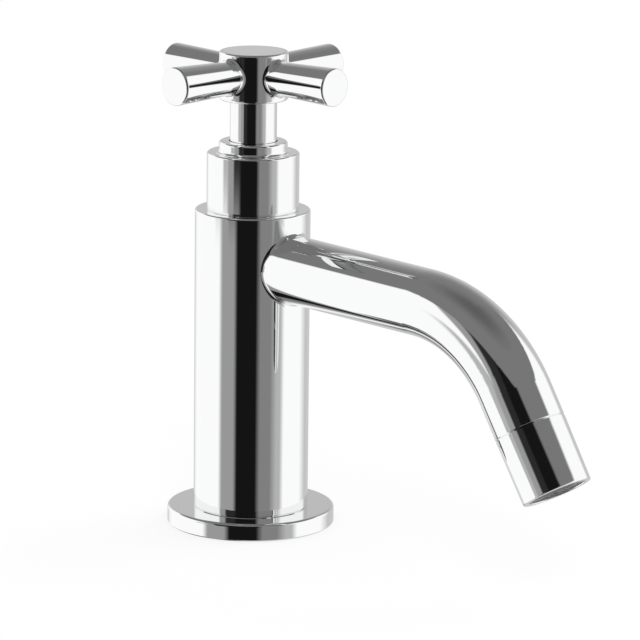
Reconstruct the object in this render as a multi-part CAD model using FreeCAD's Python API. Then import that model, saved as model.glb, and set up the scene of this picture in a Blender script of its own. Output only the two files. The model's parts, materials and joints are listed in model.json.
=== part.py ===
import FreeCAD, Part
import math
import os

# Deck-mounted cross handle tap, in millimetres. +Z is up, the spout leaves towards -Y and the
# origin is the centre of the flange's underside, on the deck. The valve is drawn closed; the
# handle opens it by a quarter turn anticlockwise, seen from above.

Vector = FreeCAD.Vector
UP = Vector(0, 0, 1)

# ---------------------------------------------------------------- sizes that can be set
# Foot and column
FLANGE_DIAMETER = 51.0
FLANGE_THICKNESS = 5.3
FLANGE_ROUNDING = 0.9         # of its upper edge
COLUMN_DIAMETER = 35.0
COLUMN_HEIGHT = 92.2          # above the flange
COLUMN_TOP_ROUNDING = 0.6
WATERWAY_DIAMETER = 13.0
REGISTER_WALL = 2.4           # the column's foot ring, which centres the flange
REGISTER_DEPTH = 2.0
GASKET_WIDTH = 4.0
GASKET_THICKNESS = 1.6

# Tail and clamp below the deck
SHANK_DIAMETER = 20.955       # G1/2 pipe thread, over the crests
SHANK_BORE = 15.0
SHANK_ENGAGEMENT = 13.7       # length screwed into the column
SHANK_TAIL = 15.5             # length left below the backnut
DECK_THICKNESS = 20.0
RUBBER_WASHER_DIAMETER = 42.0
RUBBER_WASHER_THICKNESS = 3.0
METAL_WASHER_DIAMETER = 40.0
METAL_WASHER_THICKNESS = 1.5
BACKNUT_FLATS = 30.0
BACKNUT_THICKNESS = 8.0
RELIEF_WIDTH = 1.0            # thread relief groove under the backnut
RELIEF_DEPTH = 0.8
SHANK_SEAL_THICKNESS = 1.5

# Spout
SPOUT_DIAMETER = 20.2         # at its narrowest, where the bend starts
SPOUT_ROOT_SWELL = 0.5        # how much wider it is at the column's axis
SPOUT_END_SWELL = 1.1         # how much wider it is from the end of the bend on
SPOUT_WALL = 1.4              # where it is narrowest
SPOUT_ROOT_FILLET = 1.8
SPOUT_BELOW_TOP = 15.7        # from the column's top down to the spout's axis, at the column's axis
SPOUT_DROOP = 1.9             # degrees below level where it leaves the column
SPOUT_RUN = 69.8              # straight length, from the column's axis
SPOUT_BEND_RADIUS = 44.6      # on the tube's centre line
SPOUT_END_ANGLE = 58.0        # degrees below level at the nozzle
SPOUT_LEG = 11.0              # straight length after the bend
SPOUT_PORT_DIAMETER = 13.2
NIPPLE_REACH = 8.0            # how far the nipple enters the spout
NOZZLE_LENGTH = 20.2
NOZZLE_TAPER = 0.4            # how much narrower it is at its mouth
NOZZLE_SPIGOT = 6.0
NOZZLE_JOINT_BEVEL = 0.3      # on each side of its joint line
NOZZLE_SPIGOT_WALL = 1.5
NOZZLE_ROUNDING = 0.4         # outside, at the mouth
MOUTH_ROUNDING = 0.3          # inside, at the mouth
NOZZLE_SHOULDER = 5.2         # depth of the aerator's seat below the joint line
AERATOR_WALL = 1.8            # of the nozzle, round the aerator
AERATOR_RECESS = 1.0          # from the mouth to the cage's rim
AERATOR_WELL = 2.6            # from that rim to the honeycomb
AERATOR_CAGE_WALL = 0.9
AERATOR_FACE = 1.6            # thickness of its honeycomb
HONEYCOMB_PITCH = 2.6
HONEYCOMB_RIB = 0.5
AERATOR_WASHER_THICKNESS = 1.8
SCREEN_THICKNESS = 0.5
SCREEN_PITCH = 2.9
SCREEN_HOLE = 1.7
KEY_NOTCH = 1.2               # notches in the cage's rim for its key

# Sleeve, ring and bush above the column
SLEEVE_HEIGHT = 17.5
SLEEVE_CLEARANCE = 0.25       # round the headwork's flange
SLEEVE_WALL = 1.7
SLEEVE_TOP_WALL = 2.0
SLEEVE_ROUNDING = 0.7         # of its upper edge
RING_HEIGHT = 3.4
RING_ROUNDING = 0.9           # of its upper edge
RING_FOOT_HEIGHT = 0.1        # thin foot, blended into the ring's wall
RING_FOOT_BLEND = 1.0
RING_WALL = 0.9
RING_LAP = 1.4                # how far the ring's head covers the sleeve
RING_LIP = 0.9                # thickness of the lip over the bush
BUSH_WALL = 0.85

# Headwork
HEADWORK_THREAD = 20.955      # G1/2, over the crests
HEADWORK_THREAD_LENGTH = 8.6
HEADWORK_RECESS_WIDTH = 1.02  # recess for the O-ring round the thread's mouth
HEADWORK_RECESS_DEPTH = 1.2
HEADWORK_FLANGE_LAP = 0.55    # how far its flange covers the column past that recess
HEADWORK_FLANGE_THICKNESS = 1.6
HEADWORK_HEX_STEP = 1.08      # from its flange's edge in to the hexagon's corners
HEADWORK_HEX_HEIGHT = 6.0
HEADWORK_NECK_HEIGHT = 6.2
RING_ENGAGEMENT = 2.1         # length of the ring screwed over the headwork's neck
SEAT_BELOW_TOP = 29.5         # from the column's top down to the valve seat
CHAMBER_DIAMETER = 18.8
SEAT_BORE = 8.8
SEAT_LAND = 3.0
CAGE_BORE = 13.2
CAGE_WALL = 1.0
LIP_SEAL_THICKNESS = 1.8
DISC_THICKNESS = 3.2
DRIVER_THICKNESS = 4.0
STOP_THICKNESS = 2.6
PORT_WIDTH = 80.0             # degrees, each of two in either disc
PORT_INNER_RADIUS = 1.8
PORT_EDGE = 1.2               # ceramic left outside the ports
DISC_PLAY = 0.15              # radial, round the fixed disc
DRIVER_PLAY = 0.42            # radial, round the rotating disc and its driver
EAR_WIDTH = 3.0
TAB_WIDTH = 30.0              # degrees
TAB_PLAY = 2.0                # degrees, of the driver's tabs in the disc's slots
TAB_INNER_RADIUS = 3.2
TAB_DEPTH = 1.0
LUG_WIDTH = 40.0              # degrees
LUG_ANGLE = -45.0             # where the stop lug rests with the valve closed
STOP_PLAY = 1.5               # degrees past either end of the turn
QUARTER_TURN = 90.0

# Spindle
SPINDLE_DIAMETER = 7.88
SPLINE_TEETH = 20
SPLINE_DEPTH = 0.44
SPLINE_LENGTH = 10.8
SEAL_CORD = 1.3               # thickness of the spindle's O-rings
SEAL_GROOVE = 1.56            # length of their grooves
SEAL_PITCH = 4.0
CIRCLIP_THICKNESS = 0.8
CIRCLIP_DEPTH = 0.64
CIRCLIP_PLAY = 1.3            # radial, inside the bush
CIRCLIP_OPENING = 60.0        # degrees
SLIP_WASHER_THICKNESS = 0.5
SLIP_WASHER_PLAY = 1.15       # radial, inside the bush

# Handle
NECK_DIAMETER = 14.2
NECK_RISE = 12.6              # from the ring to the hub
NECK_TENON_STEP = 1.1
INSERT_WALL = 0.95            # of the spline insert, at its flats
HUB_DIAMETER = 21.0
HUB_HEIGHT = 14.7
HUB_ROUNDING = 0.75           # of both its edges
HUB_RIM = 0.25                # flat rim between the rounded edge and the cap
HUB_FLOOR = 1.7
CAP_THICKNESS = 2.6
CAP_PLUG = 1.6
ARM_REACH = 33.6              # from the axis to an arm's flat end
ARM_TIP_DIAMETER = 11.5
ARM_ROOT_DIAMETER = 10.0
ARM_TIP_ROUNDING = 0.6
ARM_ROOT_FILLET = 1.8
ARM_ABOVE_MIDDLE = 0.15       # above the middle of the hub's height
ARM_TENON_DIAMETER = 4.9
ARM_TENON_WALL = 1.0          # metal between a tenon's hole and the pocket or neck
SCREW_DIAMETER = 3.9
SCREW_HEAD_DIAMETER = 7.0
SCREW_HEAD_HEIGHT = 3.0
SCREW_HEAD_PLAY = 1.08        # radial, in the hub's pocket
SCREW_FLATS = 3.0
SCREW_GRIP = 9.0              # length inside the spindle

# Clearances and small edges
THREAD_CLEARANCE = 0.07       # radial, between screwed parts
SEAT_CLEARANCE = 0.05         # radial, between parts that stay together
RUNNING_CLEARANCE = 0.06      # radial, between a shaft and its bearing
FREE_CLEARANCE = 0.3          # between parts that pass without touching
DISC_GAP = 0.05               # water film between the ceramic discs
SHANK_CLEARANCE = 0.32        # radial, round the tail in the flange and washers
EDGE = 0.4                    # general bevel
FINE_EDGE = 0.2               # bevel on each side of a joint line
CORD = 1.0                    # thickness of the two larger O-rings
CORD_GROOVE = 1.4             # length of the nipple's groove
CORD_CLEARANCE = 0.01

# ---------------------------------------------------------------- radii worked out from them
flange_r = FLANGE_DIAMETER / 2
column_r = COLUMN_DIAMETER / 2
shank_r = SHANK_DIAMETER / 2
shank_hole_r = shank_r + SHANK_CLEARANCE
socket_r = shank_r + THREAD_CLEARANCE
register_r = socket_r + REGISTER_WALL
spout_r = SPOUT_DIAMETER / 2
spout_root_r = spout_r + SPOUT_ROOT_SWELL / 2
spout_end_r = spout_r + SPOUT_END_SWELL / 2
mouth_r = spout_end_r - NOZZLE_TAPER / 2
spout_bore_r = spout_r - SPOUT_WALL
nipple_r = spout_bore_r - SEAT_CLEARANCE
port_r = SPOUT_PORT_DIAMETER / 2
thread_r = HEADWORK_THREAD / 2
recess_r = thread_r + HEADWORK_RECESS_WIDTH
headwork_flange_r = recess_r + HEADWORK_FLANGE_LAP
chamber_r = CHAMBER_DIAMETER / 2
cage_r = CAGE_BORE / 2
spindle_r = SPINDLE_DIAMETER / 2
neck_r = NECK_DIAMETER / 2
bush_bore_r = neck_r + SEAT_CLEARANCE
bush_r = bush_bore_r + BUSH_WALL
ring_bore_r = bush_r + SEAT_CLEARANCE
ring_spigot_r = ring_bore_r + RING_WALL
sleeve_hole_r = ring_spigot_r + SEAT_CLEARANCE
ring_r = sleeve_hole_r + RING_LAP
sleeve_bore_r = headwork_flange_r + SLEEVE_CLEARANCE
sleeve_r = sleeve_bore_r + SLEEVE_WALL
hex_flats = (headwork_flange_r - HEADWORK_HEX_STEP) * math.sqrt(3)
hub_r = HUB_DIAMETER / 2
neck_tenon_r = neck_r - NECK_TENON_STEP
screw_hole_r = SCREW_DIAMETER / 2 + FREE_CLEARANCE
pocket_r = SCREW_HEAD_DIAMETER / 2 + SCREW_HEAD_PLAY
cap_r = hub_r - HUB_ROUNDING - HUB_RIM - SEAT_CLEARANCE
disc_r = cage_r - DISC_PLAY
driver_r = cage_r - DRIVER_PLAY

# ---------------------------------------------------------------- heights worked out from them
column_foot = FLANGE_THICKNESS
column_top = column_foot + COLUMN_HEIGHT
shank_top = column_foot + SHANK_ENGAGEMENT
socket_top = shank_top + SHANK_SEAL_THICKNESS
washer_top = -DECK_THICKNESS
metal_top = washer_top - RUBBER_WASHER_THICKNESS
backnut_top = metal_top - METAL_WASHER_THICKNESS
backnut_foot = backnut_top - BACKNUT_THICKNESS
shank_foot = backnut_foot - SHANK_TAIL
seat = column_top - SEAT_BELOW_TOP
fixed_disc_foot = seat + LIP_SEAL_THICKNESS
fixed_disc_top = fixed_disc_foot + DISC_THICKNESS
rotating_disc_foot = fixed_disc_top + DISC_GAP
rotating_disc_top = rotating_disc_foot + DISC_THICKNESS
driver_foot = rotating_disc_top + DISC_GAP
driver_top = driver_foot + DRIVER_THICKNESS
stop_foot = driver_top + FREE_CLEARANCE
stop_top = stop_foot + STOP_THICKNESS
cage_ceiling = stop_top + FREE_CLEARANCE
thread_foot = column_top - HEADWORK_THREAD_LENGTH
hex_foot = column_top + HEADWORK_FLANGE_THICKNESS
hex_top = hex_foot + HEADWORK_HEX_HEIGHT
headwork_top = hex_top + HEADWORK_NECK_HEIGHT
circlip_foot = headwork_top + SLIP_WASHER_THICKNESS + DISC_GAP
circlip_top = circlip_foot + CIRCLIP_THICKNESS
neck_foot = circlip_top + FREE_CLEARANCE
spindle_top = circlip_top + SPLINE_LENGTH
insert_top = spindle_top + INSERT_WALL
sleeve_top = column_top + SLEEVE_HEIGHT
ring_top = sleeve_top + RING_HEIGHT
hub_foot = ring_top + NECK_RISE
hub_top = hub_foot + HUB_HEIGHT
arm_height = (hub_foot + hub_top) / 2 + ARM_ABOVE_MIDDLE
neck_tenon_top = arm_height - ARM_TENON_DIAMETER / 2 - ARM_TENON_WALL
pocket_floor = neck_tenon_top + HUB_FLOOR
cap_foot = hub_top - CAP_THICKNESS


# ---------------------------------------------------------------- plain forms
def turned(*outline):
    """A solid turned about +Z from its (radius, height) corners; a third number rounds a corner."""
    corners = [Vector(corner[0], 0, corner[1]) for corner in outline]
    points = []
    for i, here in enumerate(corners):
        if len(outline[i]) > 2:
            points.append(rounded(corners[i - 1], here, corners[(i + 1) % len(corners)], outline[i][2]))
        else:
            points.append([here])
    edges = []
    for leaving, reaching in zip(points, points[1:] + points[:1]):
        if len(leaving) > 1:
            edges.append(Part.Arc(*leaving).toShape())
        edges.append(Part.LineSegment(leaving[-1], reaching[0]).toShape())
    return Part.Face(Part.Wire(edges)).revolve(Vector(), UP, 360)


def rounded(before, corner, after, radius):
    """Start, middle and end of the arc that rounds a corner."""
    back = (before - corner).normalize()
    on = (after - corner).normalize()
    half = back.getAngle(on) / 2
    reach = radius / math.tan(half)
    inward = (back + on).normalize()
    return corner + back * reach, corner + inward * (radius / math.sin(half) - radius), corner + on * reach


def rod(radius, bottom, top):
    return Part.makeCylinder(radius, top - bottom, Vector(0, 0, bottom))


def ring(outer_radius, inner_radius, bottom, top):
    return turned((inner_radius, bottom), (outer_radius, bottom), (outer_radius, top), (inner_radius, top))


def prism(corners, bottom, top):
    points = [Vector(x, y, bottom) for x, y in corners]
    return Part.Face(Part.makePolygon(points + points[:1])).extrude(UP * (top - bottom))


def hexagon(across_flats, bottom, top, x=0.0, y=0.0):
    radius = across_flats / math.sqrt(3)
    turns = [math.radians(60 * i) for i in range(6)]
    return prism([(x + radius * math.cos(t), y + radius * math.sin(t)) for t in turns], bottom, top)


def blended(bar, post, bar_radius, fillet):
    """A bar that leaves an upright post towards -Y, fused to it with a fillet where they meet."""
    fused = bar.fuse(post)
    post_face = -post.BoundBox.XMax - EDGE
    meeting = []
    for edge in fused.Edges:
        box = edge.BoundBox
        across = max(-box.XMin, box.XMax) < bar_radius + fillet
        if across and post_face < box.YMin and box.YMax < 0:
            meeting.append(edge)
    return fused.makeFillet(fillet, meeting)


def splined(outer_radius, bottom, top):
    """A toothed bar, with flat-sided teeth from the outer radius down to the root."""
    corners = []
    for i in range(2 * SPLINE_TEETH):
        radius = outer_radius if i % 2 == 0 else outer_radius - SPLINE_DEPTH
        turn = math.pi * i / SPLINE_TEETH
        corners.append((radius * math.cos(turn), radius * math.sin(turn)))
    return prism(corners, bottom, top)


def sector(inner_radius, outer_radius, bottom, top, middle, width):
    """A slice of a ring, about the direction middle and width degrees wide."""
    centre = math.radians(middle)
    start = centre - math.radians(width) / 2
    end = centre + math.radians(width) / 2

    def at(radius, angle):
        return Vector(radius * math.cos(angle), radius * math.sin(angle), bottom)

    edges = [
        Part.Arc(at(outer_radius, start), at(outer_radius, centre), at(outer_radius, end)).toShape(),
        Part.LineSegment(at(outer_radius, end), at(inner_radius, end)).toShape(),
        Part.Arc(at(inner_radius, end), at(inner_radius, centre), at(inner_radius, start)).toShape(),
        Part.LineSegment(at(inner_radius, start), at(outer_radius, start)).toShape(),
    ]
    return Part.Face(Part.Wire(edges)).extrude(UP * (top - bottom))


def pair(inner_radius, outer_radius, bottom, top, middle, width):
    """Two opposite slices."""
    first = sector(inner_radius, outer_radius, bottom, top, middle, width)
    return first.fuse(sector(inner_radius, outer_radius, bottom, top, middle + 180, width))


def o_ring(groove_radius, cord, height):
    """An O-ring that lies round a groove of the given radius."""
    return Part.makeTorus(groove_radius + CORD_CLEARANCE + cord / 2, cord / 2, Vector(0, 0, height), UP)


def save(name, shape):
    solids = shape.Solids
    whole = solids[0] if len(solids) == 1 else Part.makeCompound(solids)
    whole.exportStep("parts/" + name + ".step")


# ---------------------------------------------------------------- foot and clamp
def base_flange():
    plate = turned(
        (shank_hole_r, 0),
        (flange_r - EDGE, 0),
        (flange_r, EDGE),
        (flange_r, column_foot, FLANGE_ROUNDING),
        (register_r + SEAT_CLEARANCE, column_foot),
        (register_r + SEAT_CLEARANCE, column_foot - REGISTER_DEPTH - SEAT_CLEARANCE),
        (shank_hole_r, column_foot - REGISTER_DEPTH - SEAT_CLEARANCE),
    )
    return plate.cut(ring(gasket_outer_r(), gasket_outer_r() - GASKET_WIDTH, 0, GASKET_THICKNESS))


def gasket_outer_r():
    return (flange_r + shank_hole_r + GASKET_WIDTH) / 2


def base_gasket():
    outer = gasket_outer_r() - SEAT_CLEARANCE
    return ring(outer, outer - GASKET_WIDTH + 2 * SEAT_CLEARANCE, 0, GASKET_THICKNESS)


def threaded_shank():
    relief_r = shank_r - RELIEF_DEPTH
    relief_foot = backnut_foot - RELIEF_WIDTH
    bevel = 2.5 * EDGE
    return turned(
        (SHANK_BORE / 2, shank_foot),
        (shank_r - bevel, shank_foot),
        (shank_r, shank_foot + bevel),
        (shank_r, relief_foot),
        (relief_r, relief_foot),
        (relief_r, backnut_foot),
        (shank_r, backnut_foot),
        (shank_r, shank_top),
        (SHANK_BORE / 2, shank_top),
    )


def shank_seal():
    return ring(shank_r - SEAT_CLEARANCE, SHANK_BORE / 2 + SEAT_CLEARANCE, shank_top, socket_top)


def rubber_washer():
    return ring(RUBBER_WASHER_DIAMETER / 2, shank_hole_r, metal_top, washer_top)


def metal_washer():
    return ring(METAL_WASHER_DIAMETER / 2, shank_hole_r, backnut_top, metal_top)


def backnut():
    """A hexagon with its corners turned off at both ends."""
    corner_r = BACKNUT_FLATS / math.sqrt(3)
    bevel = corner_r - BACKNUT_FLATS / 2
    blank = turned(
        (socket_r, backnut_foot),
        (corner_r - bevel, backnut_foot),
        (corner_r + EDGE, backnut_foot + bevel / 2),
        (corner_r + EDGE, backnut_top - bevel / 2),
        (corner_r - bevel, backnut_top),
        (socket_r, backnut_top),
    )
    return blank.common(hexagon(BACKNUT_FLATS, backnut_foot, backnut_top))


# ---------------------------------------------------------------- column
def column_body():
    """Column with the tail's socket, waterway, valve seat, chamber and headwork thread."""
    waterway_r = WATERWAY_DIAMETER / 2
    thread_hole_r = thread_r + THREAD_CLEARANCE
    column = turned(
        (socket_r, column_foot - REGISTER_DEPTH),
        (register_r, column_foot - REGISTER_DEPTH),
        (register_r, column_foot),
        (column_r - EDGE, column_foot),
        (column_r, column_foot + EDGE),
        (column_r, column_top, COLUMN_TOP_ROUNDING),
        (recess_r, column_top),
        (recess_r, column_top - HEADWORK_RECESS_DEPTH),
        (thread_hole_r, column_top - HEADWORK_RECESS_DEPTH),
        (thread_hole_r, thread_foot - FREE_CLEARANCE),
        (chamber_r, thread_foot - FREE_CLEARANCE),
        (chamber_r, seat),
        (SEAT_BORE / 2, seat),
        (SEAT_BORE / 2, seat - SEAT_LAND),
        (waterway_r, seat - SEAT_LAND),
        (waterway_r, socket_top),
        (socket_r, socket_top),
    )
    port = along_spout(rod(port_r, SEAT_BORE / 2, COLUMN_DIAMETER))
    counterbore = along_spout(rod(spout_bore_r, nipple_start(), COLUMN_DIAMETER))
    return column.cut(port).cut(counterbore)


# ---------------------------------------------------------------- spout
def along_spout(shape):
    """Turns a shape drawn along +Z, from the column's axis, to lie along the spout's first run."""
    turn = FreeCAD.Rotation(Vector(1, 0, 0), 90 + SPOUT_DROOP)
    root = Vector(0, 0, column_top - SPOUT_BELOW_TOP)
    return placed(shape, root, turn)


def at_nozzle(shape):
    """Moves a shape drawn along +Z, from the nozzle's joint line, to the spout's end."""
    turn = FreeCAD.Rotation(Vector(1, 0, 0), 90 + SPOUT_END_ANGLE)
    return placed(shape, spout_path()[-1], turn)


def placed(shape, point, rotation):
    moved = shape.copy()
    moved.Placement = FreeCAD.Placement(point, rotation).multiply(moved.Placement)
    return moved


def spout_path():
    """Root, start, centre and end of the bend, and joint line, all on the spout's middle plane."""
    droop = math.radians(SPOUT_DROOP)
    end = math.radians(SPOUT_END_ANGLE)
    root = Vector(0, 0, column_top - SPOUT_BELOW_TOP)
    bend_start = root + spout_direction(droop) * SPOUT_RUN
    centre = bend_start - spout_outward(droop) * SPOUT_BEND_RADIUS
    bend_end = centre + spout_outward(end) * SPOUT_BEND_RADIUS
    return root, bend_start, centre, bend_end, bend_end + spout_direction(end) * SPOUT_LEG


def spout_direction(angle):
    return Vector(0, -math.cos(angle), -math.sin(angle))


def spout_outward(angle):
    return Vector(0, -math.sin(angle), math.cos(angle))


def spout_outside():
    """A bar that narrows along its straight run and widens again through the bend."""
    root, bend_start, centre, bend_end, joint = spout_path()
    droop = math.radians(SPOUT_DROOP)
    end = math.radians(SPOUT_END_ANGLE)
    run = Part.makeCone(spout_root_r, spout_r, SPOUT_RUN, root, spout_direction(droop))
    crown = centre + spout_outward((droop + end) / 2) * SPOUT_BEND_RADIUS
    spine = Part.Wire(Part.Arc(bend_start, crown, bend_end).toShape())
    bend = Part.BRepOffsetAPI.MakePipeShell(spine)
    bend.add(Part.Wire(Part.makeCircle(spout_r, bend_start, spout_direction(droop))))
    bend.add(Part.Wire(Part.makeCircle(spout_end_r, bend_end, spout_direction(end))))
    bend.build()
    bend.makeSolid()
    leg = Part.makeCylinder(spout_end_r, SPOUT_LEG, bend_end, spout_direction(end))
    return run.fuse([bend.shape(), leg])


def spout_bore():
    """The waterway along the spout, cut on past the joint line."""
    root, bend_start, centre, bend_end, joint = spout_path()
    along = spout_direction(math.radians(SPOUT_DROOP))
    run = Part.makeCylinder(spout_bore_r, SPOUT_RUN, root, along)
    circle = Part.Wire(Part.makeCircle(spout_bore_r, bend_start, along))
    bend = Part.Face(circle).revolve(centre, Vector(1, 0, 0), SPOUT_END_ANGLE - SPOUT_DROOP)
    onward = spout_direction(math.radians(SPOUT_END_ANGLE))
    leg = Part.makeCylinder(spout_bore_r, SPOUT_LEG + EDGE, bend_end, onward)
    return run.fuse([bend, leg]).removeSplitter()


def spout_tube():
    """The tube, blended out to the column at its root and bevelled at the joint line."""
    middle = column_top - SPOUT_BELOW_TOP
    post = rod(column_r - SEAT_CLEARANCE, middle - 2 * spout_r, middle + 2 * spout_r)
    bar = blended(spout_outside(), post, spout_root_r, SPOUT_ROOT_FILLET)
    tube = bar.cut(rod(column_r, middle - 3 * spout_r, middle + 3 * spout_r)).cut(spout_bore())
    blank = 2 * spout_end_r
    bevel = NOZZLE_JOINT_BEVEL
    collar = turned((spout_end_r - bevel, 0), (blank, 0), (blank, -bevel), (spout_end_r, -bevel))
    return tube.cut(at_nozzle(collar))


def nipple_start():
    """The nipple's inner end, clear of the headwork's thread."""
    return headwork_flange_r + SEAT_CLEARANCE


def spout_nipple():
    outer_end = column_r + NIPPLE_REACH
    groove = column_r + NIPPLE_REACH / 2
    body = turned(
        (port_r, nipple_start()),
        (nipple_r, nipple_start()),
        (nipple_r, groove - CORD_GROOVE / 2),
        (nipple_r - CORD, groove - CORD_GROOVE / 2),
        (nipple_r - CORD, groove + CORD_GROOVE / 2),
        (nipple_r, groove + CORD_GROOVE / 2),
        (nipple_r, outer_end),
        (port_r, outer_end),
    )
    return along_spout(body)


def spout_seal():
    return along_spout(o_ring(nipple_r - CORD, CORD, column_r + NIPPLE_REACH / 2))


def nozzle():
    """The screwed spout end: spigot, body with a fine bevel at the joint, and the aerator's seat."""
    spigot_r = spout_bore_r - SEAT_CLEARANCE
    bore = aerator_bore_r()
    shell = turned(
        (spigot_r - NOZZLE_SPIGOT_WALL, -NOZZLE_SPIGOT),
        (spigot_r, -NOZZLE_SPIGOT),
        (spigot_r, 0),
        (spout_end_r - NOZZLE_JOINT_BEVEL, 0),
        (spout_end_r, NOZZLE_JOINT_BEVEL),
        (mouth_r, NOZZLE_LENGTH, NOZZLE_ROUNDING),
        (bore, NOZZLE_LENGTH, MOUTH_ROUNDING),
        (bore, NOZZLE_SHOULDER),
        (spigot_r - NOZZLE_SPIGOT_WALL, NOZZLE_SHOULDER),
    )
    return at_nozzle(shell)


def aerator_bore_r():
    return mouth_r - AERATOR_WALL


def aerator_washer():
    outer = aerator_bore_r() - SEAT_CLEARANCE
    inner = spout_bore_r - SEAT_CLEARANCE - NOZZLE_SPIGOT_WALL
    return at_nozzle(ring(outer, inner, NOZZLE_SHOULDER, NOZZLE_SHOULDER + AERATOR_WASHER_THICKNESS))


def honeycomb(radius, pitch, hole_flats, bottom, top):
    """Hexagonal holes in rows, as many as fit whole inside the radius."""
    holes = []
    reach = radius - hole_flats / math.sqrt(3)
    rows = int(radius / pitch) + 2
    for row in range(-rows, rows + 1):
        for step in range(-rows, rows + 1):
            x = pitch * math.sqrt(3) / 2 * row
            y = pitch * (step + (row % 2) / 2)
            if math.hypot(x, y) <= reach:
                holes.append(hexagon(hole_flats, bottom, top, x, y))
    return holes


def aerator_screen():
    top = NOZZLE_SHOULDER + AERATOR_WASHER_THICKNESS
    outer = aerator_bore_r() - SEAT_CLEARANCE
    inner = outer - AERATOR_CAGE_WALL
    holes = honeycomb(inner, SCREEN_PITCH, SCREEN_HOLE, top, top + SCREEN_THICKNESS)
    return at_nozzle(rod(outer, top, top + SCREEN_THICKNESS).cut(holes))


def aerator_cage():
    """A tube with a honeycomb set inside it and four key notches in its rim."""
    head = NOZZLE_SHOULDER + AERATOR_WASHER_THICKNESS + SCREEN_THICKNESS
    rim = NOZZLE_LENGTH - AERATOR_RECESS
    face = rim - AERATOR_WELL
    outer = aerator_bore_r() - SEAT_CLEARANCE
    inner = outer - AERATOR_CAGE_WALL
    wells = [rod(inner, head, face - AERATOR_FACE), rod(inner, face, rim)]
    cup = rod(outer, head, rim).cut(wells)
    mesh_r = inner - AERATOR_CAGE_WALL
    holes = honeycomb(mesh_r, HONEYCOMB_PITCH, HONEYCOMB_PITCH - HONEYCOMB_RIB, head, face)
    notches = []
    for i in range(4):
        corner = Vector(inner, -KEY_NOTCH / 2, rim - KEY_NOTCH)
        notch = Part.makeBox(2 * KEY_NOTCH, KEY_NOTCH, KEY_NOTCH, corner)
        notch.rotate(Vector(), UP, 45 + 90 * i)
        notches.append(notch)
    return at_nozzle(cup.cut(holes + notches))


# ---------------------------------------------------------------- headwork
def headwork_body():
    """The valve's body: cage for the discs, stop, thread, hexagon and threaded neck."""
    bore = spindle_r + RUNNING_CLEARANCE
    cage_outer = cage_r + CAGE_WALL
    cage_foot = seat + FREE_CLEARANCE
    core = turned(
        (cage_r, cage_foot),
        (cage_outer, cage_foot),
        (cage_outer, thread_foot),
        (thread_r, thread_foot),
        (thread_r, column_top),
        (headwork_flange_r, column_top),
        (headwork_flange_r, hex_foot),
        (bush_r, hex_foot),
        (bush_r, headwork_top),
        (bore, headwork_top),
        (bore, cage_ceiling),
        (cage_r, cage_ceiling),
    )
    hexagonal = hexagon(hex_flats, hex_foot, hex_top).cut(rod(bore, hex_foot, hex_top))
    windows = pair(port_mid_r(), cage_outer + EDGE, driver_foot, driver_top, 0, PORT_WIDTH)
    slots = ears(cage_outer + EDGE, EAR_WIDTH + 2 * SEAT_CLEARANCE, cage_foot, fixed_disc_top)
    return core.fuse([hexagonal, stop_rib()]).cut(windows).cut(slots)


def stop_rib():
    """Fills the cage round the stop lug, apart from the lug's own travel."""
    free = QUARTER_TURN + LUG_WIDTH + 2 * STOP_PLAY
    middle = LUG_ANGLE + QUARTER_TURN / 2 + 180
    inner = spindle_r + 2 * FREE_CLEARANCE
    return sector(inner, cage_r + CAGE_WALL / 2, stop_foot, cage_ceiling, middle, 360 - free)


def port_mid_r():
    return (PORT_INNER_RADIUS + disc_r) / 2


def ears(reach, width, bottom, top):
    """A bar across the axis, along Y, which makes the disc's two ears and their slots."""
    return Part.makeBox(width, 2 * reach, top - bottom, Vector(-width / 2, -reach, bottom))


def headwork_seal():
    return o_ring(thread_r, CORD, column_top - HEADWORK_RECESS_DEPTH / 2)


def lip_seal():
    return ring(disc_r, SEAT_BORE / 2 + SEAT_CLEARANCE, seat, fixed_disc_foot)


def fixed_disc():
    """Lower ceramic disc: two ports, and ears that key it in the cage."""
    ear_reach = cage_r + CAGE_WALL
    ear_bar = ears(ear_reach, EAR_WIDTH, fixed_disc_foot, fixed_disc_top)
    disc = rod(disc_r, fixed_disc_foot, fixed_disc_top).fuse(ear_bar.common(rod(ear_reach, seat, column_top)))
    ports = pair(PORT_INNER_RADIUS, disc_r - PORT_EDGE, seat, fixed_disc_top, 0, PORT_WIDTH)
    return disc.cut(ports).removeSplitter()


def rotating_disc():
    """Upper ceramic disc: two ports, a quarter turn from the lower ones, and slots for the driver."""
    disc = rod(driver_r, rotating_disc_foot, rotating_disc_top)
    ports = pair(PORT_INNER_RADIUS, driver_r - PORT_EDGE, seat, rotating_disc_top, 90, PORT_WIDTH)
    slot_foot = rotating_disc_top - TAB_DEPTH - SEAT_CLEARANCE
    inner = TAB_INNER_RADIUS - SEAT_CLEARANCE
    outer = driver_r - PORT_EDGE + SEAT_CLEARANCE
    slots = pair(inner, outer, slot_foot, rotating_disc_top, 0, TAB_WIDTH + TAB_PLAY)
    return disc.cut(ports).cut(slots)


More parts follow.
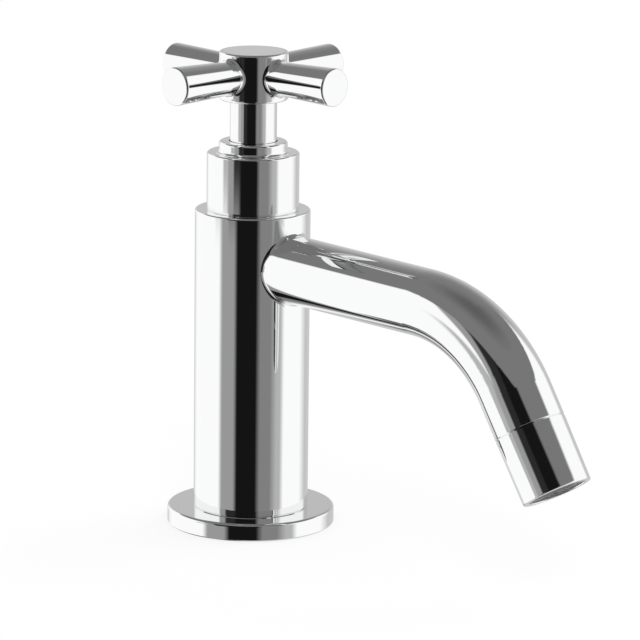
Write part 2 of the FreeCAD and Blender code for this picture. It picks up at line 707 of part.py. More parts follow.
# ---------------------------------------------------------------- spindle
def spindle():
    """Driver with two tabs, stop lug, grooves, splines and the screw's hole."""
    clip_r = spindle_r - CIRCLIP_DEPTH
    outline = [(0, driver_foot), (driver_r, driver_foot), (driver_r, driver_top), (spindle_r, driver_top)]
    for height in seal_heights():
        outline += groove(spindle_r - SEAL_CORD, height - SEAL_GROOVE / 2, height + SEAL_GROOVE / 2)
    outline += [(spindle_r, circlip_foot), (clip_r, circlip_foot), (clip_r, circlip_top), (0, circlip_top)]
    ports = pair(PORT_INNER_RADIUS, 2 * driver_r, driver_foot, driver_top, 90, PORT_WIDTH)
    shaft = turned(*outline).cut(ports)
    tab_foot = rotating_disc_top - TAB_DEPTH
    tabs = pair(TAB_INNER_RADIUS, driver_r - PORT_EDGE, tab_foot, driver_foot, 0, TAB_WIDTH)
    lug = sector(spindle_r - SEAL_CORD, driver_r, stop_foot, stop_top, LUG_ANGLE, LUG_WIDTH)
    teeth = splined(spindle_r, circlip_top, spindle_top)
    screw_hole = rod(SCREW_DIAMETER / 2 + SEAT_CLEARANCE, spindle_top - SCREW_GRIP - EDGE, spindle_top)
    return shaft.fuse([tabs, lug, teeth]).cut(screw_hole).removeSplitter()


def groove(floor_r, low, high):
    """The corners of a groove in the spindle's outline."""
    return [(spindle_r, low), (floor_r, low), (floor_r, high), (spindle_r, high)]


def seal_heights():
    middle = (cage_ceiling + headwork_top) / 2
    return middle - SEAL_PITCH / 2, middle + SEAL_PITCH / 2


def spindle_seals():
    groove_r = spindle_r - SEAL_CORD
    return Part.makeCompound([o_ring(groove_r, SEAL_CORD, height) for height in seal_heights()])


def slip_washer():
    outer = bush_bore_r - SLIP_WASHER_PLAY
    return ring(outer, spindle_r + RUNNING_CLEARANCE, headwork_top, headwork_top + SLIP_WASHER_THICKNESS)


def spindle_circlip():
    """An open spring ring in the spindle's groove."""
    inner = spindle_r - CIRCLIP_DEPTH + SEAT_CLEARANCE
    outer = bush_bore_r - CIRCLIP_PLAY
    return sector(inner, outer, circlip_foot, circlip_top, 180, 360 - CIRCLIP_OPENING)


# ---------------------------------------------------------------- sleeve, ring and bush
def shroud_sleeve():
    return turned(
        (sleeve_bore_r, column_top),
        (sleeve_r - FINE_EDGE, column_top),
        (sleeve_r, column_top + FINE_EDGE),
        (sleeve_r, sleeve_top, SLEEVE_ROUNDING),
        (sleeve_hole_r, sleeve_top),
        (sleeve_hole_r, sleeve_top - SLEEVE_TOP_WALL),
        (sleeve_bore_r, sleeve_top - SLEEVE_TOP_WALL),
    )


def clamp_ring():
    """Ring nut: its head clamps the sleeve, its spigot screws over the headwork's neck."""
    spigot_foot = headwork_top - RING_ENGAGEMENT
    lip_foot = ring_top - RING_LIP
    foot_top = sleeve_top + RING_FOOT_HEIGHT
    return turned(
        (ring_bore_r, spigot_foot),
        (ring_spigot_r, spigot_foot),
        (ring_spigot_r, sleeve_top),
        (ring_r + RING_FOOT_BLEND, sleeve_top),
        (ring_r + RING_FOOT_BLEND, foot_top),
        (ring_r, foot_top, RING_FOOT_BLEND - FINE_EDGE),
        (ring_r, ring_top, RING_ROUNDING),
        (neck_r + FREE_CLEARANCE, ring_top),
        (neck_r + FREE_CLEARANCE, lip_foot),
        (ring_bore_r, lip_foot),
    )


def neck_bush():
    return ring(bush_r, bush_bore_r, headwork_top, ring_top - RING_LIP)


# ---------------------------------------------------------------- handle
def insert_flats():
    return SPINDLE_DIAMETER + 2 * INSERT_WALL


def spline_insert():
    """Hexagonal insert with the spindle's teeth inside."""
    body = hexagon(insert_flats(), neck_foot, insert_top)
    teeth = splined(spindle_r + SEAT_CLEARANCE, neck_foot, spindle_top)
    return body.cut(teeth).cut(rod(screw_hole_r, neck_foot, insert_top))


def handle_neck():
    """The neck that turns: hexagonal socket below, tenon for the hub above."""
    body = turned(
        (0, neck_foot),
        (neck_r - EDGE, neck_foot),
        (neck_r, neck_foot + EDGE),
        (neck_r, hub_foot),
        (neck_tenon_r, hub_foot),
        (neck_tenon_r, neck_tenon_top),
        (0, neck_tenon_top),
    )
    socket = hexagon(insert_flats() + 2 * SEAT_CLEARANCE, neck_foot, insert_top)
    return body.cut(socket).cut(rod(screw_hole_r, neck_foot, neck_tenon_top))


def handle_hub():
    """The boss: socket for the neck, pocket for the screw, recess for the cap, four arm holes."""
    cap_recess_r = cap_r + SEAT_CLEARANCE
    boss = turned(
        (neck_tenon_r + SEAT_CLEARANCE, hub_foot),
        (hub_r, hub_foot, HUB_ROUNDING),
        (hub_r, hub_top, HUB_ROUNDING),
        (cap_recess_r, hub_top),
        (cap_recess_r, cap_foot),
        (pocket_r, cap_foot),
        (pocket_r, pocket_floor),
        (screw_hole_r, pocket_floor),
        (screw_hole_r, neck_tenon_top),
        (neck_tenon_r + SEAT_CLEARANCE, neck_tenon_top),
    )
    hole = rod(ARM_TENON_DIAMETER / 2 + SEAT_CLEARANCE, arm_tenon_start() - SEAT_CLEARANCE, 2 * hub_r)
    return boss.cut([along_arm(hole, turn) for turn in (0, 90, 180, 270)])


def arm_tenon_start():
    return pocket_r + ARM_TENON_WALL


def along_arm(shape, turn):
    """Lays a shape drawn along +Z out along an arm; a turn of 0 points to +X."""
    level = FreeCAD.Rotation(Vector(0, 1, 0), 90)
    return placed(shape, Vector(0, 0, arm_height), FreeCAD.Rotation(UP, turn).multiply(level))


def arm():
    """The front arm: it widens to its flat end, is blended out to the hub and has a tenon."""
    root = hub_r / 2
    root_r = ARM_ROOT_DIAMETER / 2
    taper = (ARM_TIP_DIAMETER / 2 - root_r) / (ARM_REACH - hub_r)
    bar = turned(
        (0, root),
        (root_r - taper * (hub_r - root), root),
        (ARM_TIP_DIAMETER / 2, ARM_REACH, ARM_TIP_ROUNDING),
        (0, ARM_REACH),
    )
    low = arm_height - hub_r
    high = arm_height + hub_r
    post = rod(hub_r - SEAT_CLEARANCE, low, high)
    blank = blended(along_arm(bar, 270), post, root_r, ARM_ROOT_FILLET)
    coped = blank.cut(rod(hub_r, low - EDGE, high + EDGE))
    tenon = rod(ARM_TENON_DIAMETER / 2, arm_tenon_start(), hub_r + ARM_TENON_WALL)
    return coped.fuse(along_arm(tenon, 270)).removeSplitter()


def top_cap():
    """Flush disc with a plug that enters the screw's pocket."""
    plug_r = pocket_r - SEAT_CLEARANCE
    return turned(
        (0, cap_foot - CAP_PLUG),
        (plug_r, cap_foot - CAP_PLUG),
        (plug_r, cap_foot),
        (cap_r, cap_foot),
        (cap_r, hub_top),
        (0, hub_top),
    )


def handle_screw():
    """Socket-headed screw from the hub's floor down into the spindle."""
    head = rod(SCREW_HEAD_DIAMETER / 2, pocket_floor, pocket_floor + SCREW_HEAD_HEIGHT)
    stem = rod(SCREW_DIAMETER / 2, spindle_top - SCREW_GRIP, pocket_floor)
    socket_foot = pocket_floor + SCREW_HEAD_HEIGHT / 2
    return head.fuse(stem).cut(hexagon(SCREW_FLATS, socket_foot, pocket_floor + SCREW_HEAD_HEIGHT))


# ---------------------------------------------------------------- the whole tap
PIECES = {
    "base_flange": base_flange,
    "base_gasket": base_gasket,
    "threaded_shank": threaded_shank,
    "shank_seal": shank_seal,
    "rubber_washer": rubber_washer,
    "metal_washer": metal_washer,
    "backnut": backnut,
    "column_body": column_body,
    "spout_tube": spout_tube,
    "spout_nipple": spout_nipple,
    "spout_seal": spout_seal,
    "nozzle": nozzle,
    "aerator_washer": aerator_washer,
    "aerator_screen": aerator_screen,
    "aerator_cage": aerator_cage,
    "headwork_body": headwork_body,
    "headwork_seal": headwork_seal,
    "lip_seal": lip_seal,
    "fixed_disc": fixed_disc,
    "rotating_disc": rotating_disc,
    "spindle": spindle,
    "spindle_seals": spindle_seals,
    "slip_washer": slip_washer,
    "spindle_circlip": spindle_circlip,
    "shroud_sleeve": shroud_sleeve,
    "clamp_ring": clamp_ring,
    "neck_bush": neck_bush,
    "spline_insert": spline_insert,
    "handle_neck": handle_neck,
    "handle_hub": handle_hub,
    "top_cap": top_cap,
    "handle_screw": handle_screw,
}
ARMS = {"front_arm": 0, "right_arm": 90, "back_arm": 180, "left_arm": 270}

os.makedirs("parts", exist_ok=True)
for name, make in PIECES.items():
    save(name, make())
front_arm = arm()
for name, turn in ARMS.items():
    save(name, placed(front_arm, Vector(), FreeCAD.Rotation(UP, turn)))
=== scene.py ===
"""Looks, studio and camera for a deck-mounted cross handle tap, in metres."""

import json
import math

import bpy
from mathutils import Matrix, Vector

MM = 0.001

# Camera, as the photograph was taken
AZIMUTH = math.radians(-46.65)      # round the tap, from straight in front of the spout
ELEVATION = math.radians(12.68)
ROLL = math.radians(0.64)
DISTANCE = 1.2786
AIM_RIGHT = 0.0207                  # aim point, right of the column's axis
AIM_HEIGHT = 0.0631
SENSOR_WIDTH = 36                   # millimetres, like the focal length
FOCAL_LENGTH = 236.4
NEAREST_SEEN = 0.05
FARTHEST_SEEN = 50

# Brightness of the studio's panels
SOFTBOX = 1.08
BACKDROP = 0.58
PALE_WALL = 0.50
WALL = 0.35
DARK_WALL = 0.24
CHARCOAL = 0.026
BLACK = 0.008

# The panels that the polished metal mirrors, in three rows above each other. They go round from
# behind the tap by way of its left side, each from and to so many degrees from the camera's own
# direction, and blend into one another in the gaps.
LOWER_PANELS = (
    (-180, -180, BACKDROP),
    (-140, -69, SOFTBOX),
    (-61, -36, WALL),
    (-29, 9, BLACK),
    (18, 38, DARK_WALL),
    (52, 60, PALE_WALL),
    (69, 114, SOFTBOX),
    (138, 180, BACKDROP),
)
MIDDLE_PANELS = (
    (-180, -180, BACKDROP),
    (-140, -81, SOFTBOX),
    (-76, -66, PALE_WALL),
    (-61, -50, WALL),
    (-46, -33, CHARCOAL),
    (-28, 10, BLACK),
    (18, 38, DARK_WALL),
    (52, 60, PALE_WALL),
    (69, 114, SOFTBOX),
    (138, 180, BACKDROP),
)
UPPER_PANELS = (
    (-180, -180, BACKDROP),
    (-140, -68, SOFTBOX),
    (-64, -54, WALL),
    (-50, -34, CHARCOAL),
    (-28, 10, BLACK),
    (18, 45, DARK_WALL),
    (53, 55, PALE_WALL),
    (66, 130, SOFTBOX),
    (141, 180, BACKDROP),
)
# Heights in degrees between which one row of panels gives way to the next
LOWER_END = (-11.8, -10.5)
MIDDLE_END = (1, 8)
# On the left the upper panels lean back: their edges turn by this many degrees per degree of height,
# times a share that goes by degrees round the tap
LEAN = 0.58
LEAN_FROM = math.radians(18)
LEAN_SHARE = ((-180, 0), (-100, 0), (-78, 1), (-62, 1), (-54, 0.5), (-30, 0.5), (0, 0), (180, 0))
# Height at which the panels meet the ceiling, in degrees
SKYLINE = ((-180, 33), (-60, 33), (-52, 32), (10, 32), (50, 34), (90, 36), (104, 37.5), (180, 38))
SKYLINE_BLUR = 0.022
# Brightness by height in degrees, of the ceiling and of the open side behind the tap
CEILING = ((0, 0.20), (58, 0.205), (68, 0.175), (90, 0.12))
BEHIND = ((0, 0.62), (14, 0.56), (28, 0.38), (36, 0.29), (46, 0.23), (60, 0.21), (72, 0.175), (90, 0.12))
# Shares by degrees round the tap: of the open side, and of the dim place low down behind the tap,
# which gives undersides and edges their dark outline
BEHIND_SHARE = ((-180, 1), (-168, 1), (-152, 0), (137, 0), (148, 1), (180, 1))
LOW_SHARE = ((-180, 1), (-150, 1), (-138, 0), (148, 0), (165, 1), (180, 1))
LOW_LEVEL = 0.16
LOW_END = (-31, -21)                # heights in degrees between which it gives way to the panels
DAYLIGHT = 0.9                      # even light on everything that isn't a mirror

# Soft square lamps: name, place, side length and power. The polished metal doesn't mirror them.
LAMPS = (
    ("key lamp", (-1.2, -1.4, 1.6), 1.0, 12.0),
    ("fill lamp", (1.5, -0.4, 1.2), 1.0, 6.0),
)
LAMP_TARGET = (0, 0, 0.08)

FLOOR_REACH = 6.0                   # from the tap to the floor's edges
FLOOR_DROP = 0.02 * MM              # keeps it clear of the flange's underside
FLOOR_GLOW = 0.75                   # share of plain white in the floor that the camera sees

WHITE = (1, 1, 1, 1)
FLOOR_WHITE = (0.95, 0.95, 0.95, 1)
# Darkest and lightest tone of each material
CHROME_TONES = ((0.875, 0.88, 0.885, 1), (0.89, 0.89, 0.89, 1))
BRASS_TONES = ((0.60, 0.42, 0.17, 1), (0.74, 0.56, 0.27, 1))
STEEL_TONES = ((0.50, 0.50, 0.50, 1), (0.62, 0.62, 0.62, 1))
RUBBER_TONES = ((0.018, 0.018, 0.018, 1), (0.035, 0.034, 0.033, 1))
WHITE_PLASTIC_TONES = ((0.76, 0.76, 0.74, 1), (0.82, 0.82, 0.80, 1))
GREY_PLASTIC_TONES = ((0.27, 0.27, 0.275, 1), (0.33, 0.33, 0.335, 1))
CERAMIC_TONES = ((0.80, 0.79, 0.76, 1), (0.86, 0.85, 0.82, 1))

CHROME_ROUGHNESS = 0.02
HANDLING_SCALE = 45.0
HANDLING_AMOUNT = 0.05              # how much the wiping marks add to the roughness
SPECK_FINENESS = 14.0               # times finer than the wiping marks
SPECK_SHARE = 0.25                  # strength beside the wiping marks
LATHE_PITCH = 2500.0                # turning marks per metre
TARNISH_SCALE = 120.0
GRAIN_SCALE = 900.0
SHADE_FINENESS = 0.1                # times as fine as the grain
FINE_RELIEF = 0.2 * MM              # depth of turning marks and moulding grain at full strength

# Screw thread of the tail, G1/2
THREAD_PITCH = 1.814 * MM
THREAD_DEPTH = 1.16 * MM
THREAD_OUTSIDE = 10.3 * MM          # what lies nearer the axis has no thread

BELOW_DECK = ("threaded_shank", "rubber_washer", "metal_washer", "backnut")


# ---------------------------------------------------------------- node helpers
def grey(level):
    """An opaque grey."""
    return (level, level, level, 1)


class Nodes:
    """A short way to place nodes and join their sockets."""

    def __init__(self, tree):
        self.tree = tree
        tree.nodes.clear()

    def add(self, kind, settings=None, **inputs):
        """A new node with its settings, and each named input set or joined."""
        node = self.tree.nodes.new(kind)
        for name, value in (settings or {}).items():
            setattr(node, name, value)
        for name, value in inputs.items():
            self.feed(node.inputs[self.socket(node, name)], value)
        return node

    def socket(self, node, name):
        """An input's number from i0, i1 and so on, or its name with _ read as a space."""
        if name[0] == "i" and name[1:].isdigit():
            return int(name[1:])
        return name.replace("_", " ")

    def feed(self, socket, value):
        """Joins another node's output, or sets a plain value."""
        if isinstance(value, bpy.types.NodeSocket):
            self.tree.links.new(value, socket)
        else:
            socket.default_value = value

    def math(self, operation, *values):
        inputs = {"i%d" % i: value for i, value in enumerate(values)}
        return self.add("ShaderNodeMath", {"operation": operation}, **inputs).outputs[0]

    def smooth(self, value, start, end):
        """0 below the start, 1 above the end and a soft change between."""
        settings = {"interpolation_type": "SMOOTHSTEP"}
        return self.add("ShaderNodeMapRange", settings, i0=value, i1=start, i2=end).outputs[0]

    def bump(self, height, strength, distance, **inputs):
        node = self.add("ShaderNodeBump", Height=height, Strength=strength, Distance=distance, **inputs)
        return node.outputs["Normal"]

    def mix(self, factor, first, second):
        """The first colour at 0 and the second at 1."""
        settings = {"data_type": "RGBA"}
        return self.add("ShaderNodeMix", settings, i0=factor, i6=first, i7=second).outputs[2]

    def ramp(self, factor, stops):
        """A colour ramp through (position, grey level) stops."""
        node = self.add("ShaderNodeValToRGB", Fac=factor)
        elements = node.color_ramp.elements
        while len(elements) > 1:
            elements.remove(elements[-1])
        (first_position, first_level), *others = stops
        elements[0].position = first_position
        elements[0].color = grey(first_level)
        for position, level in others:
            elements.new(position).color = grey(level)
        return node.outputs["Color"]


def new_group(name, inputs, outputs):
    """An empty node group of named numbers; gives the group, its helper and its inputs."""
    group = bpy.data.node_groups.new(name, "ShaderNodeTree")
    for label, value in inputs.items():
        socket = group.interface.new_socket(label, in_out="INPUT", socket_type="NodeSocketFloat")
        socket.default_value = value
    for label in outputs:
        group.interface.new_socket(label, in_out="OUTPUT", socket_type="NodeSocketFloat")
    nodes = Nodes(group)
    return group, nodes, nodes.add("NodeGroupInput").outputs


# ---------------------------------------------------------------- shared surface effects
def handling_group():
    """Faint wiping marks and a dusting of fine specks, as one number to add to roughness."""
    inputs = {"Scale": HANDLING_SCALE, "Amount": HANDLING_AMOUNT}
    group, nodes, given = new_group("handling marks", inputs, ("Roughness", "Mask"))
    place = nodes.add("ShaderNodeTexCoord").outputs["Object"]
    cloud = nodes.add("ShaderNodeTexNoise", Vector=place, Scale=given["Scale"], Detail=3.0, Roughness=0.6)
    fine = nodes.math("MULTIPLY", given["Scale"], SPECK_FINENESS)
    specks = nodes.add("ShaderNodeTexNoise", Vector=place, Scale=fine, Detail=1.0, Roughness=0.5)
    soft = nodes.math("SMOOTH_MAX", nodes.math("SUBTRACT", cloud.outputs["Fac"], 0.5), 0.0, 0.1)
    mixed = nodes.math("ADD", soft, nodes.math("MULTIPLY", specks.outputs["Fac"], SPECK_SHARE))
    result = nodes.math("MULTIPLY", mixed, given["Amount"])
    nodes.add("NodeGroupOutput", Roughness=result, Mask=cloud.outputs["Fac"])
    return group


def turned_group():
    """Fine lathe marks in rings about the part's upright axis, as a height and a tint."""
    group, nodes, given = new_group("lathe marks", {"Pitch": LATHE_PITCH}, ("Height", "Tint"))
    place = nodes.add("ShaderNodeTexCoord").outputs["Object"]
    along = nodes.add("ShaderNodeSeparateXYZ", Vector=place).outputs["Z"]
    rings = nodes.add(
        "ShaderNodeTexNoise", {"noise_dimensions": "1D"}, W=along, Scale=given["Pitch"], Detail=2.0
    )
    patches = nodes.add("ShaderNodeTexNoise", Vector=place, Scale=TARNISH_SCALE, Detail=4.0)
    tint = nodes.math("MULTIPLY", nodes.math("ADD", rings.outputs["Fac"], patches.outputs["Fac"]), 0.5)
    nodes.add("NodeGroupOutput", Height=rings.outputs["Fac"], Tint=tint)
    return group


def grain_group():
    """Moulding grain, as a height and a shade."""
    group, nodes, given = new_group("moulding grain", {"Scale": GRAIN_SCALE}, ("Height", "Shade"))
    place = nodes.add("ShaderNodeTexCoord").outputs["Object"]
    noise = nodes.add("ShaderNodeTexNoise", Vector=place, Scale=given["Scale"], Detail=3.0)
    coarse = nodes.math("MULTIPLY", given["Scale"], SHADE_FINENESS)
    patches = nodes.add("ShaderNodeTexNoise", Vector=place, Scale=coarse, Detail=2.0)
    nodes.add("NodeGroupOutput", Height=noise.outputs["Fac"], Shade=patches.outputs["Fac"])
    return group


def thread_group():
    """A screw thread round the upright axis: 1 on its crest, 0 in its root and inside the outline."""
    inputs = {"Pitch": THREAD_PITCH, "Outside": THREAD_OUTSIDE}
    group, nodes, given = new_group("screw thread", inputs, ("Profile",))
    place = nodes.add("ShaderNodeTexCoord").outputs["Object"]
    axes = nodes.add("ShaderNodeSeparateXYZ", Vector=place).outputs
    turns = nodes.math("DIVIDE", nodes.math("ARCTAN2", axes["Y"], axes["X"]), 2 * math.pi)
    height = nodes.math("DIVIDE", axes["Z"], given["Pitch"])
    phase = nodes.math("FRACT", nodes.math("SUBTRACT", height, turns))
    slope = nodes.math("MULTIPLY", nodes.math("ABSOLUTE", nodes.math("SUBTRACT", phase, 0.5)), 2.0)
    square = nodes.math("ADD", nodes.math("POWER", axes["X"], 2.0), nodes.math("POWER", axes["Y"], 2.0))
    outer = nodes.math("GREATER_THAN", nodes.math("SQRT", square), given["Outside"])
    nodes.add("NodeGroupOutput", Profile=nodes.math("MULTIPLY", slope, outer))
    return group


# ---------------------------------------------------------------- materials
def start_material(name):
    """A new material and the helper for its empty node tree."""
    material = bpy.data.materials.new(name)
    material.use_nodes = True
    return material, Nodes(material.node_tree)


def place_group(nodes, group, **inputs):
    """Places a shared group and gives its outputs."""
    return nodes.add("ShaderNodeGroup", {"node_tree": group}, **inputs).outputs


def end_material(nodes, **inputs):
    """Feeds the surface shader and joins it to the output."""
    surface = nodes.add("ShaderNodeBsdfPrincipled", **inputs).outputs["BSDF"]
    nodes.add("ShaderNodeOutputMaterial", Surface=surface)


def polished_chrome(groups):
    """Mirror-like plating with the faintest wiping marks."""
    material, nodes = start_material("polished chrome")
    marks = place_group(nodes, groups["handling"], Scale=HANDLING_SCALE, Amount=HANDLING_AMOUNT)
    roughness = nodes.math("ADD", marks["Roughness"], CHROME_ROUGHNESS)
    colour = nodes.mix(marks["Mask"], *CHROME_TONES)
    end_material(nodes, Base_Color=colour, Metallic=1.0, Roughness=roughness)
    return material


def turned_metal(name, groups, tones, roughness):
    """Bare metal with lathe marks."""
    material, nodes = start_material(name)
    marks = place_group(nodes, groups["turned"], Pitch=LATHE_PITCH)
    tint = nodes.mix(marks["Tint"], *tones)
    normal = nodes.bump(marks["Height"], strength=0.15, distance=FINE_RELIEF)
    end_material(nodes, Base_Color=tint, Metallic=1.0, Roughness=roughness, Normal=normal)
    return material


def threaded_metal(name, groups, tones, roughness):
    """Turned metal with the tail's screw thread on its outside, and painted shade in the thread's roots.
    """
    material, nodes = start_material(name)
    marks = place_group(nodes, groups["turned"], Pitch=LATHE_PITCH)
    cut = place_group(nodes, groups["thread"], Pitch=THREAD_PITCH, Outside=THREAD_OUTSIDE)
    # Painted shade: the colour goes darker in the thread's roots and on all that lies inside its outline,
    # and lighter on its crests.
    shade = nodes.math("MULTIPLY", marks["Tint"], nodes.math("ADD", cut["Profile"], 0.2))
    tint = nodes.mix(shade, *tones)
    fine = nodes.bump(marks["Height"], strength=0.1, distance=FINE_RELIEF)
    normal = nodes.bump(cut["Profile"], strength=1.0, distance=THREAD_DEPTH, Normal=fine)
    end_material(nodes, Base_Color=tint, Metallic=1.0, Roughness=roughness, Normal=normal)
    return material


def moulded(name, groups, tones, roughness):
    """Rubber, plastic or ceramic with a fine grain."""
    material, nodes = start_material(name)
    grain = place_group(nodes, groups["grain"], Scale=GRAIN_SCALE)
    shade = nodes.mix(grain["Shade"], *tones)
    normal = nodes.bump(grain["Height"], strength=0.1, distance=FINE_RELIEF)
    end_material(nodes, Base_Color=shade, Roughness=roughness, Normal=normal)
    return material


def make_materials():
    """One material for each of the record's slots, and one for the threaded tail."""
    groups = {
        "handling": handling_group(),
        "turned": turned_group(),
        "grain": grain_group(),
        "thread": thread_group(),
    }
    return {
        "polished_chrome": polished_chrome(groups),
        "bare_brass": turned_metal("bare brass", groups, BRASS_TONES, roughness=0.28),
        "threaded brass": threaded_metal("threaded brass", groups, BRASS_TONES, roughness=0.3),
        "stainless_steel": turned_metal("stainless steel", groups, STEEL_TONES, roughness=0.3),
        "black_rubber": moulded("black rubber", groups, RUBBER_TONES, roughness=0.65),
        "white_plastic": moulded("white plastic", groups, WHITE_PLASTIC_TONES, roughness=0.4),
        "grey_plastic": moulded("grey plastic", groups, GREY_PLASTIC_TONES, roughness=0.45),
        "valve_ceramic": moulded("valve ceramic", groups, CERAMIC_TONES, roughness=0.2),
    }


def paint(frame, materials):
    """Gives each CAD node the material of its slot in the record, and the tail its thread."""
    for entry in frame["record"]["subparts"]:
        node = entry["node"]
        slot = "threaded brass" if node == "threaded_shank" else entry["material_slot"]
        mesh = frame["nodes"][node].data
        mesh.materials.clear()
        mesh.materials.append(materials[slot])
    # The floor stands for the deck, so what is below it isn't mirrored in the metal above
    for node in BELOW_DECK:
        frame["nodes"][node].visible_glossy = False


# ---------------------------------------------------------------- studio
def panels(row):
    """The stops at both edges of each panel of a row."""
    return [stop for start, end, level in row for stop in ((start, level), (end, level))]


def around(stops):
    """Stops by degrees round the tap, as positions along a ramp."""
    return [((degrees + 180) / 360, level) for degrees, level in stops]


def rise_of(degrees):
    """The upright part of a direction so many degrees above level."""
    return math.sin(math.radians(degrees))


def upward(stops):
    """Stops by height in degrees, as positions along a ramp of the direction's upright part."""
    return [(rise_of(degrees), level) for degrees, level in stops]


def studio_world():
    """Mirrors see grey walls, white softboxes and a dim ceiling; the camera sees white."""
    world = bpy.data.worlds.new("studio")
    bpy.context.scene.world = world
    world.use_nodes = True
    nodes = Nodes(world.node_tree)
    direction = nodes.add("ShaderNodeTexCoord").outputs["Generated"]
    turn = nodes.add(
        "ShaderNodeVectorRotate", {"rotation_type": "Z_AXIS"}, Vector=direction, Angle=-AZIMUTH
    )
    axes = nodes.add("ShaderNodeSeparateXYZ", Vector=turn.outputs["Vector"]).outputs
    towards_camera = nodes.math("MULTIPLY", axes["Y"], -1.0)
    angle = nodes.math("ARCTAN2", axes["X"], towards_camera)
    share = nodes.math("ADD", nodes.math("DIVIDE", angle, 2 * math.pi), 0.5)
    height = axes["Z"]

    lower = nodes.ramp(share, around(panels(LOWER_PANELS)))
    middle = nodes.ramp(share, around(panels(MIDDLE_PANELS)))
    rise = nodes.math("SUBTRACT", nodes.math("ARCSINE", height), LEAN_FROM)
    lean = nodes.math("MULTIPLY", nodes.ramp(share, around(LEAN_SHARE)), LEAN / (2 * math.pi))
    leaning = nodes.math("ADD", share, nodes.math("MULTIPLY", rise, lean))
    upper = nodes.ramp(leaning, around(panels(UPPER_PANELS)))
    above_low, above_lower, above_middle = [
        nodes.smooth(height, rise_of(start), rise_of(end))
        for start, end in (LOW_END, LOWER_END, MIDDLE_END)
    ]
    below_low = nodes.math("SUBTRACT", 1.0, above_low)
    dim = nodes.math("MULTIPLY", below_low, nodes.ramp(share, around(LOW_SHARE)))
    lower = nodes.mix(dim, lower, grey(LOW_LEVEL))
    walls = nodes.mix(above_middle, nodes.mix(above_lower, lower, middle), upper)
    skyline = nodes.ramp(share, around([(place, rise_of(top)) for place, top in SKYLINE]))
    clearance = nodes.math("SUBTRACT", height, skyline)
    above = nodes.smooth(clearance, -SKYLINE_BLUR, SKYLINE_BLUR)
    front = nodes.mix(above, walls, nodes.ramp(height, upward(CEILING)))
    behind = nodes.ramp(height, upward(BEHIND))
    seen = nodes.mix(nodes.ramp(share, around(BEHIND_SHARE)), front, behind)

    path = nodes.add("ShaderNodeLightPath").outputs
    room = nodes.add("ShaderNodeBackground", Color=seen, Strength=1.0)
    daylight = nodes.add("ShaderNodeBackground", Color=WHITE, Strength=DAYLIGHT)
    white = nodes.add("ShaderNodeBackground", Color=WHITE, Strength=1.0)
    lit = nodes.add(
        "ShaderNodeMixShader", i0=path["Is Glossy Ray"], i1=daylight.outputs[0], i2=room.outputs[0]
    )
    final = nodes.add(
        "ShaderNodeMixShader", i0=path["Is Camera Ray"], i1=lit.outputs[0], i2=white.outputs[0]
    )
    nodes.add("ShaderNodeOutputWorld", Surface=final.outputs[0])


def floor_material():
    """White, with a faint shadow, and see-through from below."""
    material, nodes = start_material("white floor")
    path = nodes.add("ShaderNodeLightPath").outputs
    diffuse = nodes.add("ShaderNodeBsdfDiffuse", Color=FLOOR_WHITE)
    glow = nodes.add("ShaderNodeEmission", Color=WHITE, Strength=1.0)
    share = nodes.math("MULTIPLY", path["Is Camera Ray"], FLOOR_GLOW)
    top = nodes.add("ShaderNodeMixShader", i0=share, i1=diffuse.outputs[0], i2=glow.outputs[0])
    clear = nodes.add("ShaderNodeBsdfTransparent")
    below = nodes.add("ShaderNodeNewGeometry").outputs["Backfacing"]
    surface = nodes.add("ShaderNodeMixShader", i0=below, i1=top.outputs[0], i2=clear.outputs[0])
    nodes.add("ShaderNodeOutputMaterial", Surface=surface.outputs[0])
    return material


def add_floor():
    """A wide floor level with the flange's underside; the clamp hangs below it."""
    sides = ((-1, -1), (1, -1), (1, 1), (-1, 1))
    corners = [(x * FLOOR_REACH, y * FLOOR_REACH, -FLOOR_DROP) for x, y in sides]
    mesh = bpy.data.meshes.new("floor")
    mesh.from_pydata(corners, [], [(0, 1, 2, 3)])
    mesh.materials.append(floor_material())
    floor = bpy.data.objects.new("floor", mesh)
    bpy.context.scene.collection.objects.link(floor)
    floor.visible_glossy = False


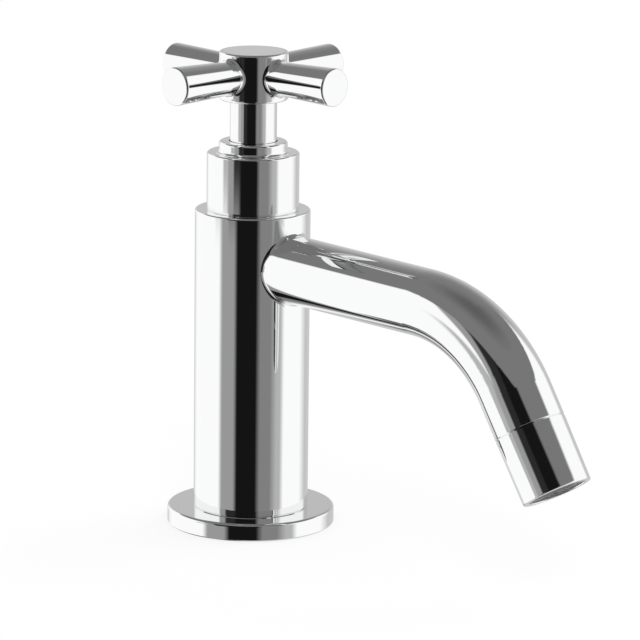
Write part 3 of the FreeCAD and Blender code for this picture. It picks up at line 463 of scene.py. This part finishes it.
def add_lamp(name, place, size, energy):
    """A soft square lamp that the polished metal doesn't mirror."""
    lamp = bpy.data.lights.new(name, "AREA")
    lamp.size = size
    lamp.energy = energy
    rig = bpy.data.objects.new(name, lamp)
    bpy.context.scene.collection.objects.link(rig)
    rig.location = place
    aim = Vector(LAMP_TARGET) - Vector(place)
    rig.rotation_euler = aim.to_track_quat("-Z", "Y").to_euler()
    rig.visible_glossy = False


def add_camera():
    """The camera, looking at the aim point from the photograph's angle."""
    camera_data = bpy.data.cameras.new("camera")
    camera_data.sensor_width = SENSOR_WIDTH
    camera_data.lens = FOCAL_LENGTH
    camera_data.clip_start = NEAREST_SEEN
    camera_data.clip_end = FARTHEST_SEEN
    camera = bpy.data.objects.new("camera", camera_data)
    bpy.context.scene.collection.objects.link(camera)
    level = math.cos(ELEVATION)
    back = Vector((math.sin(AZIMUTH) * level, -math.cos(AZIMUTH) * level, math.sin(ELEVATION)))
    right = Vector((math.cos(AZIMUTH), math.sin(AZIMUTH), 0))
    up = back.cross(right)
    tilted_right = right * math.cos(ROLL) + up * math.sin(ROLL)
    tilted_up = up * math.cos(ROLL) - right * math.sin(ROLL)
    aim = right * AIM_RIGHT + Vector((0, 0, AIM_HEIGHT))
    turn = Matrix((tilted_right, tilted_up, back)).transposed().to_4x4()
    camera.matrix_world = Matrix.Translation(aim + back * DISTANCE) @ turn
    bpy.context.scene.camera = camera


# ---------------------------------------------------------------- the scene
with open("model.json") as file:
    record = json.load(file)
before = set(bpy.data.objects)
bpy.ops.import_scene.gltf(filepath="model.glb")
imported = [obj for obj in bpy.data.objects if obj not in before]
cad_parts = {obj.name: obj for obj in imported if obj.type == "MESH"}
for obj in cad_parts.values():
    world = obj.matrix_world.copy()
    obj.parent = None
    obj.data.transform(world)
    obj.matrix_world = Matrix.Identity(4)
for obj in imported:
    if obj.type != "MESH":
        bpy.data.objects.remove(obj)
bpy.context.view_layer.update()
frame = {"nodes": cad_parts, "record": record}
paint(frame, make_materials())
studio_world()
add_floor()
for lamp in LAMPS:
    add_lamp(*lamp)
add_camera()
bpy.context.scene.view_settings.view_transform = "Standard"
